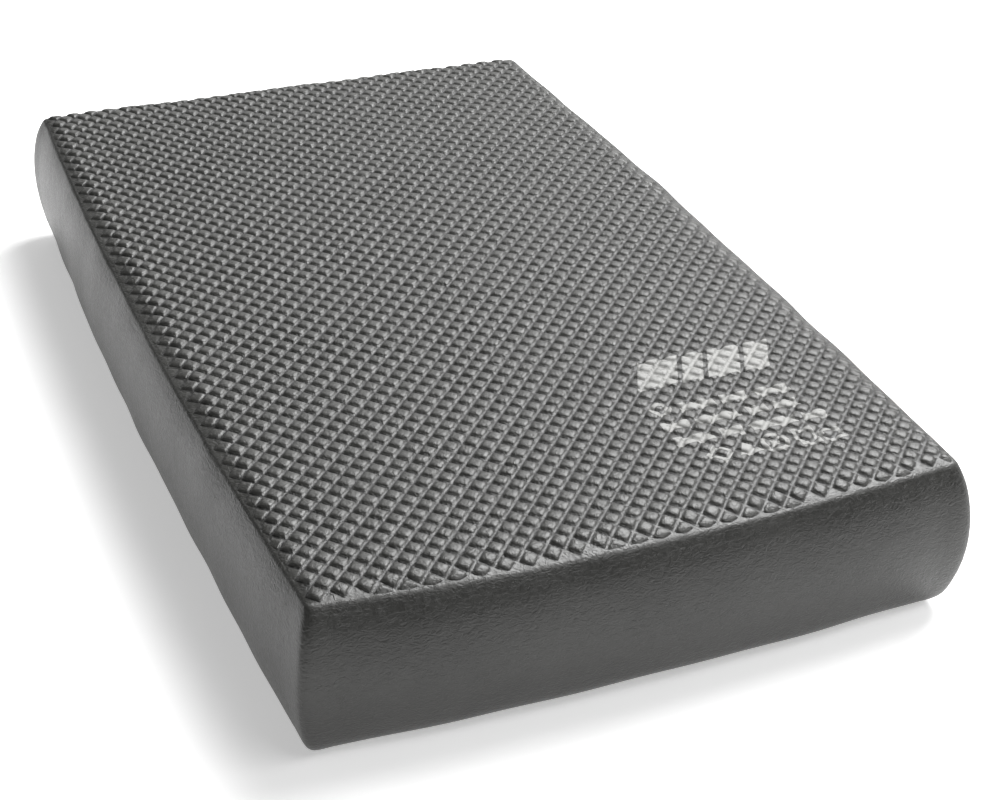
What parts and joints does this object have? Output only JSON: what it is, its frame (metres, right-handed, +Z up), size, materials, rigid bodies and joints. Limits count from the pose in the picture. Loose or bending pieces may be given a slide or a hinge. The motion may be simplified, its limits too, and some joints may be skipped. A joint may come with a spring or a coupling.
{
  "type": "balance pad",
  "caption": "Rectangular soft foam balance pad with a raised diamond grip on its faces, smooth bowed sides and pale printed marks in one corner.",
  "frame": {"origin": "centre of the flat underside, on the floor", "axes": "+Z up, +Y along the pad's length away from the printed end, +X across its width, towards the printed side"},
  "size_m": [0.25, 0.41, 0.06],
  "materials": {
    "foam_skin": "satin moulded skin, dark grey",
    "foam_core": "matt closed-cell foam, grey",
    "print_ink": "matt pale grey ink"
  },
  "bodies": {
    "root": {"foam_core": "foam_core", "top_skin": "foam_skin", "side_skin": "foam_skin", "bottom_skin": "foam_skin", "print_block_1": "print_ink", "print_block_2": "print_ink", "print_block_3": "print_ink", "print_block_4": "print_ink", "print_line_1_dash_1": "print_ink", "print_line_1_dash_2": "print_ink", "print_line_1_dash_3": "print_ink", "print_line_2_dash_1": "print_ink", "print_line_2_dash_2": "print_ink", "print_line_2_dash_3": "print_ink", "print_line_2_dash_4": "print_ink", "print_line_3_dash_1": "print_ink", "print_line_3_dash_2": "print_ink", "print_line_3_dash_3": "print_ink", "print_line_3_dash_4": "print_ink", "print_ring": "print_ink", "print_diamond": "print_ink", "print_triangle": "print_ink", "print_target_ring": "print_ink", "print_target_dot": "print_ink", "print_frame_tall": "print_ink", "print_frame_low": "print_ink"}
  },
  "joints": []
}
